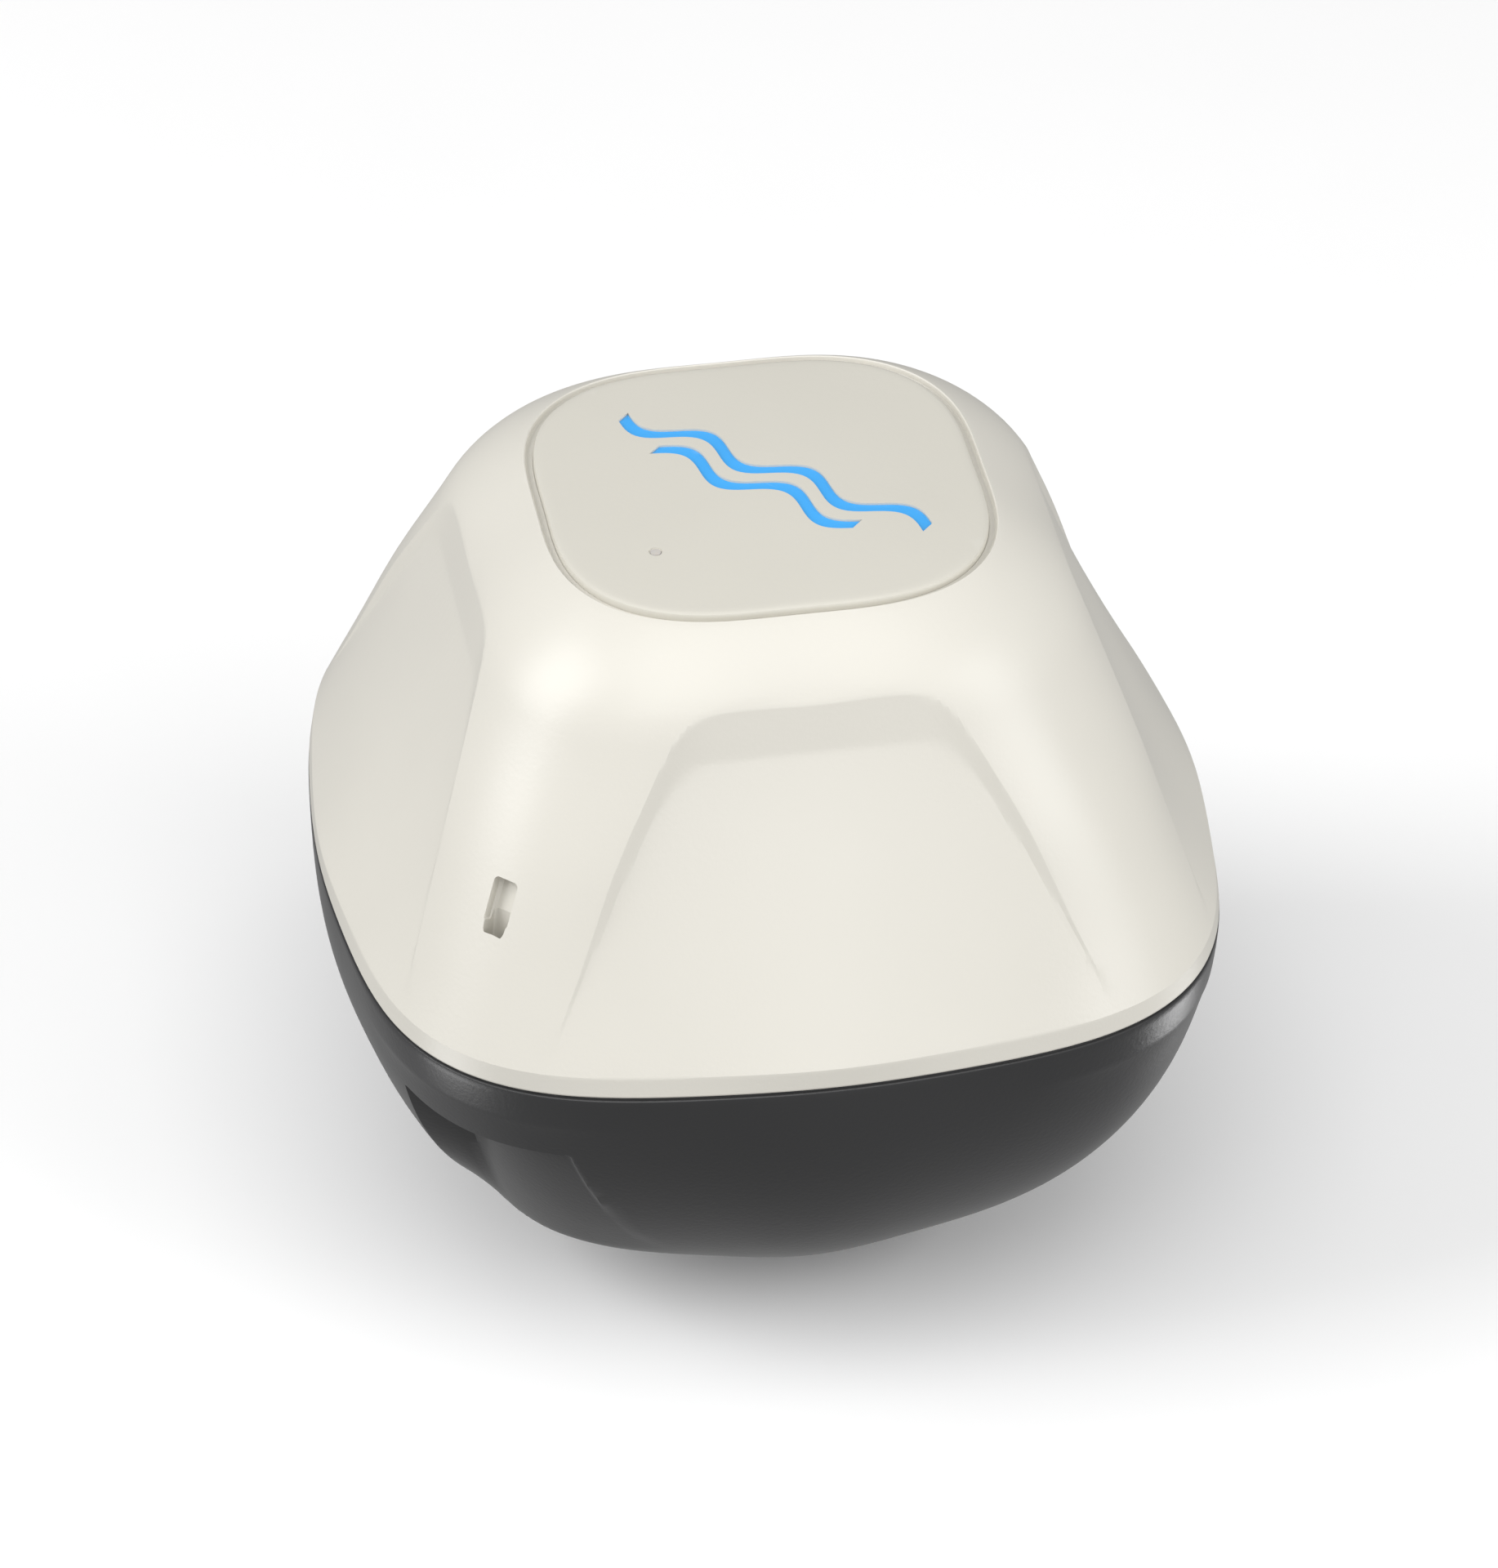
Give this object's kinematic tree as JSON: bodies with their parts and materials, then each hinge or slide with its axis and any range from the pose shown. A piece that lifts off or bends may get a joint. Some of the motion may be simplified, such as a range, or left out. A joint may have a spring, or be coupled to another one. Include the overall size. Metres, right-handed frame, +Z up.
{
  "type": "castable sonar float",
  "caption": "Palm-sized castable sonar float: an off-white ridged dome over a dark bowl hull, with a line slot and a hinged charging port cap.",
  "frame": {"origin": "centre of the transducer face, on the surface the float stands on", "axes": "+Z up through the top cover; -Y is the flat side opposite the charging port; the line slot is at the -X -Y corner"},
  "size_m": [0.0682, 0.0682, 0.0644],
  "materials": {
    "shell_plastic": "satin off-white moulded shell, fine moulding texture",
    "cover_plastic": "satin warm white cover plate",
    "inlay_plastic": "blue filled wave stripes",
    "light_pipe": "clear moulded light guide",
    "seal_rubber": "black moulded seal",
    "hull_plastic": "satin dark grey moulded hull",
    "sleeve_plastic": "beige moulded sleeve",
    "cap_rubber": "soft dark grey cap",
    "steel": "stainless steel",
    "circuit_board": "green solder mask",
    "flex_film": "amber flexible circuit",
    "brass": "plain brass",
    "face_plastic": "smooth black urethane face",
    "piezo_ceramic": "fired piezo ceramic",
    "dark_foam": "closed-cell foam",
    "can_steel": "tinned steel shield",
    "lead_black": "black jacketed lead",
    "lead_red": "red insulated leads",
    "ballast_steel": "plated steel ballast",
    "tray_plastic": "natural moulded tray",
    "battery_wrap": "shrink-wrapped lithium cell",
    "antenna_ceramic": "patch antenna ceramic with a silvered top",
    "socket_plastic": "natural moulded sockets"
  },
  "bodies": {
    "float_body": {"upper_shell": "shell_plastic", "top_cover": "cover_plastic", "cover_inlay": "inlay_plastic", "light_pipe": "light_pipe", "shell_gasket": "seal_rubber", "lower_hull": "hull_plastic", "line_sleeve": "sleeve_plastic", "cap_hinge_pin": "steel", "port_seal": "seal_rubber", "usb_socket": "steel", "port_board": "circuit_board", "port_board_screws": "steel", "port_flex": "flex_film", "case_screws": "steel", "screw_seals": "seal_rubber", "screw_inserts": "brass", "transducer_face": "face_plastic", "piezo_disc": "piezo_ceramic", "backing_foam": "dark_foam", "transducer_can": "can_steel", "transducer_lead": "lead_black", "ballast_ring": "ballast_steel", "water_contacts": "steel", "temperature_probe": "brass", "battery_tray": "tray_plastic", "tray_screws": "steel", "battery": "battery_wrap", "battery_foam": "dark_foam", "battery_leads": "lead_red", "main_board": "circuit_board", "board_screws": "steel", "gps_antenna": "antenna_ceramic", "shield_cans": "can_steel", "board_sockets": "socket_plastic", "status_led": "light_pipe"},
    "cap": {"port_cap": "cap_rubber"}
  },
  "joints": [
    {"name": "port_cap_hinge", "type": "hinge", "parent": "float_body", "child": "cap", "pos_m": [0, 0.03006, 0.01879], "axis": [-1, 0, 0], "range_deg": [0, 105]}
  ]
}
